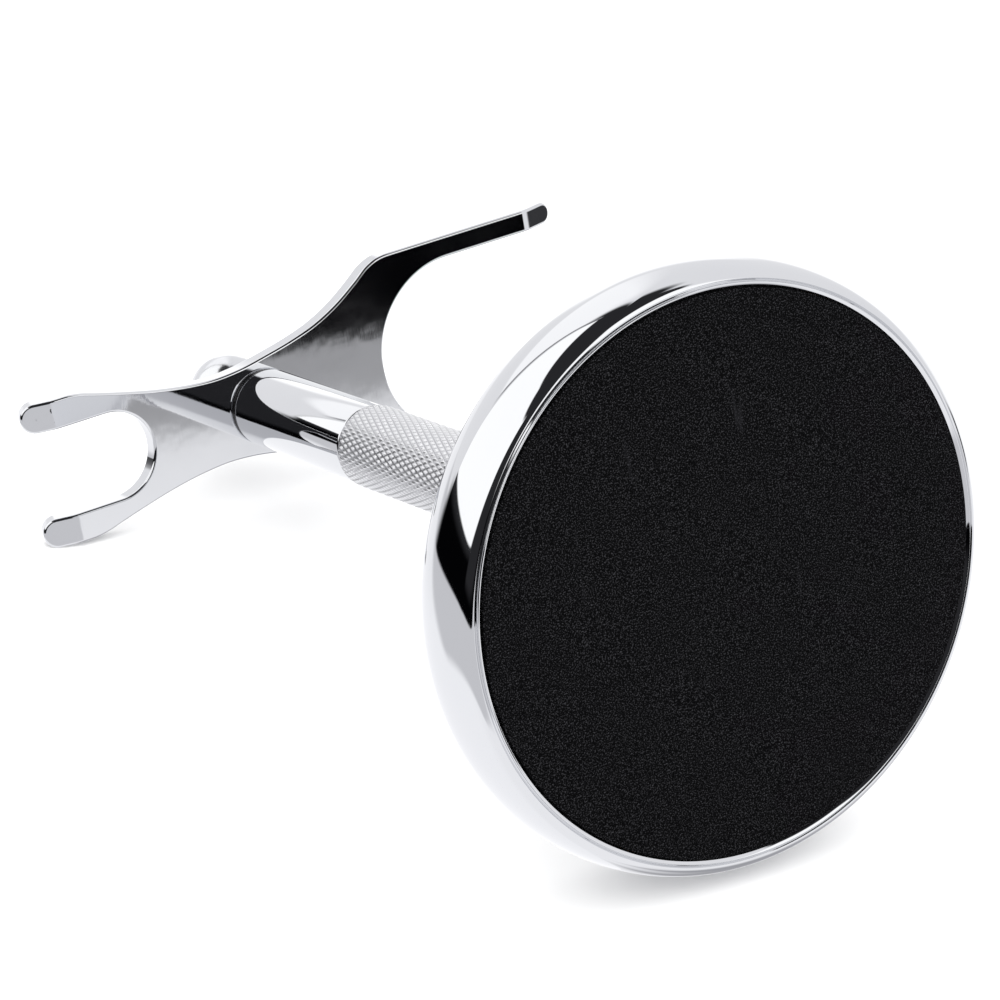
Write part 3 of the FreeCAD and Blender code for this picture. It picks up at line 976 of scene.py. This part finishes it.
@dataclass(frozen=True)
class Panel:
    """A soft-edged light or flag of the studio."""

    name: str  # What it is
    shade: str  # Its sRGB shade as chrome shows it
    edges: tuple[Edge, ...]  # Its sides


@dataclass(frozen=True)
class Studio:
    """Plain soft light round the lying stand, its pale floor and the camera."""

    down: Triple = (-0.10209554, 0.97269203, 0.20843876)  # Direction out of the floor, away from the stand
    floor_mm: float = 36.448  # Distance of the floor from the origin along down
    right: Triple = (0.8251, 0.1998, -0.5285)  # Direction to the right along the floor
    front: Triple = (-0.5557, 0.118, -0.823)  # Direction along the floor towards the viewer
    surround: str = "#DCDCDE"  # Shade of everything no panel covers
    chrome_share: float = 0.74  # Share of the light that chrome returns, so that panels show their shade in it
    soft_light: float = 1.85  # Strength of the even light on matt surfaces
    floor_tones: tuple[str, str] = ("#F6F6F6", "#F8F8F8")  # The two shades of the floor's paper
    lens_mm: float = 144.0  # Focal length
    eye: Triple = (-0.22445, -0.15339, -0.35807)  # The camera's place
    # The camera's right, up and back.
    eye_axes: tuple[Triple, ...] = (
        (0.83908, 0.15836, -0.52044),
        (0.29548, -0.93594, 0.1916),
        (-0.45676, -0.31454, -0.83212),
    )
    # Each panel lies over the ones before it.
    panels: tuple[Panel, ...] = (
        Panel("floor", "#E8E8EA", (below(-4, soft=1.5),)),
        Panel("left_floor", "#EDEDEF", (below(-22, soft=5), left_of(-30, soft=30))),
        Panel("floor_apron", "#C2C2C5", (above(-30, soft=2.5), above(-27, 0.36, 2.5), below(-3),
            right_of(-142, 1.4, 6), left_of(50, soft=3))),
        Panel("near_right_floor", "#9A9A9E", (right_of(64, soft=9), left_of(176, soft=7), above(-73, soft=12),
            below(-40, soft=14))),
        Panel("far_bright_floor", "#FCFCFC", (right_of(106, soft=9), above(-26, soft=8), below(5, soft=5))),
        Panel("back_window", "#FFFFFF", (left_of(-163, soft=3), above(-13, soft=4), below(15, soft=3))),
        Panel("back_window_end", "#FFFFFF", (right_of(172, soft=4), above(-13, soft=4), below(15, soft=3))),
        Panel("left_wall", "#F6F6F7", (left_of(-118, 0.42, 4), right_of(-172, soft=7), above(20, soft=1.5),
            below(60, soft=10))),
        Panel("dark_wall", "#262628", (right_of(-118, 0.42), left_of(65.5, soft=2.0), above(-2))),
        Panel("dark_wall_top", "#262628", (right_of(10), Edge(-1, 0.85, -34, 3.0), above(28, soft=3))),
        Panel("side_card", "#FFFFFF", (right_of(47, soft=2), left_of(67, soft=1), above(3.5, soft=1.5),
            below(42, soft=3))),
        Panel("dark_ceiling", "#262628", (above(68, soft=4), right_of(-60))),
        Panel("dark_ceiling_left", "#262628", (above(-32, -0.6, 4), left_of(0), above(45))),
        Panel("far_gap", "#343436", (right_of(82, soft=4), left_of(103, soft=2), above(-6.5, soft=1),
            below(-1.5, soft=1))),
        Panel("black_flag", "#030304", (right_of(-121, soft=5), left_of(2), above(-4.3, 0.062, 0.7),
            below(14, 0.1, 2), left_of(-46, -0.6, 4))),
        Panel("black_strip", "#030304", (right_of(-60, soft=8), left_of(6, soft=4), above(-4.3, 0.062, 0.7),
            below(2, soft=3))),
        Panel("black_strip_right", "#030304", (right_of(0, soft=4), left_of(66), above(-4.3, 0.033, 0.12),
            below(2, soft=3))),
        Panel("grey_sill", "#99999B", (right_of(46, soft=4), left_of(72, soft=4), above(-3.15, soft=0.15),
            below(-4.3, 0.033, 0.12))),
        Panel("key_softbox", "#FFFFFF", (above(17, 0.1, 0.6), above(45.9, 0.784, 2.5), below(61.5),
            below(44.5, -0.29, 1.5), right_of(-118, 0.42, 0.7))),
        Panel("key_frame", "#7D7D80", (above(20, soft=3), below(63), right_of(-121.2, 0.42, 0.6),
            left_of(-119, 0.42, 0.6))),
    )

    def mask(self, tree: Tree, panel: Panel, longitude: Socket, latitude: Socket) -> Socket:
        """Return how much a direction lies inside a panel.

        Args:
            tree: The world's node tree.
            panel: The panel.
            longitude: The direction's longitude, in degrees.
            latitude: Its latitude.

        Returns:
            A value from 0 to 1.
        """
        inside: Socket | None = None
        for edge in panel.edges:
            across = maths(tree, "MULTIPLY", longitude, edge.across)
            place = maths(tree, "MULTIPLY_ADD", latitude, edge.up, across)
            span = (edge.offset - edge.soft, edge.offset + edge.soft)
            step = spread(tree, place, span, interpolation_type="SMOOTHSTEP")
            inside = step if inside is None else maths(tree, "MULTIPLY", inside, step)
        return inside

    def light(self) -> None:
        """Make the world: panels for reflections, even light for matt surfaces, white behind all."""
        world = bpy.data.worlds.new("soft_studio")
        world.use_nodes = True
        bpy.context.scene.world = world
        tree = world.node_tree
        tree.nodes.clear()
        toward = add_node(tree, "TexCoord").outputs["Generated"]
        along = [
            add_node(tree, "VectorMath", {0: toward, 1: axis}, operation="DOT_PRODUCT").outputs["Value"]
            for axis in (self.right, self.front, self.down)
        ]
        longitude = maths(tree, "MULTIPLY", maths(tree, "ARCTAN2", along[0], along[1]), math.degrees(1))
        latitude = maths(tree, "MULTIPLY", maths(tree, "ARCSINE", along[2]), -math.degrees(1))
        seen: Socket | Colour = linear(self.surround)
        for panel in self.panels:
            seen = blend(tree, self.mask(tree, panel, longitude, latitude), seen, linear(panel.shade))
        glossy, matt, behind = (
            add_node(tree, "Background", {"Color": colour, "Strength": strength}).outputs[0]
            for colour, strength in ((seen, 1 / self.chrome_share), (WHITE, self.soft_light), (WHITE, 1.0))
        )
        rays = add_node(tree, "LightPath").outputs
        lit = add_node(tree, "MixShader", {0: rays["Is Diffuse Ray"], 1: glossy, 2: matt}).outputs[0]
        shown = add_node(tree, "MixShader", {0: rays["Is Camera Ray"], 1: lit, 2: behind})
        add_node(tree, "OutputWorld", {"Surface": shown.outputs[0]})

    def floor(self) -> None:
        """Lay the pale floor under the lying stand, clear from below."""
        bm = bmesh.new()
        bmesh.ops.create_grid(bm, x_segments=8, y_segments=8, size=0.9)
        mesh = bpy.data.meshes.new("pale_floor")
        bm.to_mesh(mesh)
        bm.free()
        floor = bpy.data.objects.new("pale_floor", mesh)
        bpy.context.scene.collection.objects.link(floor)
        down = Vector(self.down).normalized()
        lying = Matrix((Vector(self.right), -Vector(self.front), -down)).transposed()
        floor.matrix_world = Matrix.Translation(down * self.floor_mm * MM) @ lying.to_4x4()
        floor.visible_glossy = False
        paper = bpy.data.materials.new("matt_paper_sweep")
        paper.use_nodes = True
        tree = paper.node_tree
        tree.nodes.clear()
        grain = add_node(tree, "TexNoise", {"Scale": 60.0, "Detail": 3.0}).outputs["Fac"]
        tone = blend(tree, grain, *(linear(code) for code in self.floor_tones))
        matt = add_node(tree, "BsdfDiffuse", {"Color": tone})
        clear = add_node(tree, "BsdfTransparent")
        back = add_node(tree, "NewGeometry").outputs["Backfacing"]
        sided = add_node(tree, "MixShader", {0: back, 1: matt.outputs[0], 2: clear.outputs[0]})
        add_node(tree, "OutputMaterial", {"Surface": sided.outputs[0]})
        floor.data.materials.append(paper)

    def camera(self) -> None:
        """Place the camera: a long lens that looks at the lying stand's foot."""
        data = bpy.data.cameras.new("long_lens")
        data.lens = self.lens_mm
        data.clip_start, data.clip_end = 0.01, 20.0
        camera = bpy.data.objects.new("camera", data)
        bpy.context.scene.collection.objects.link(camera)
        camera.matrix_world = Matrix.Translation(self.eye) @ Matrix(self.eye_axes).transposed().to_4x4()
        bpy.context.scene.camera = camera

    def build(self) -> None:
        """Set up light, floor, camera and a plain view transform."""
        self.light()
        self.floor()
        self.camera()
        bpy.context.scene.view_settings.view_transform = "Standard"


def main() -> None:
    """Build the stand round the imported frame."""
    logging.basicConfig(level=logging.INFO, format="%(name)s: %(message)s")
    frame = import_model()
    WeightedBase().build(frame)
    Post().build(frame)
    ForkPlate().build()
    BallKnob().build()
    Studio().build()


if __name__ == "__main__":
    main()
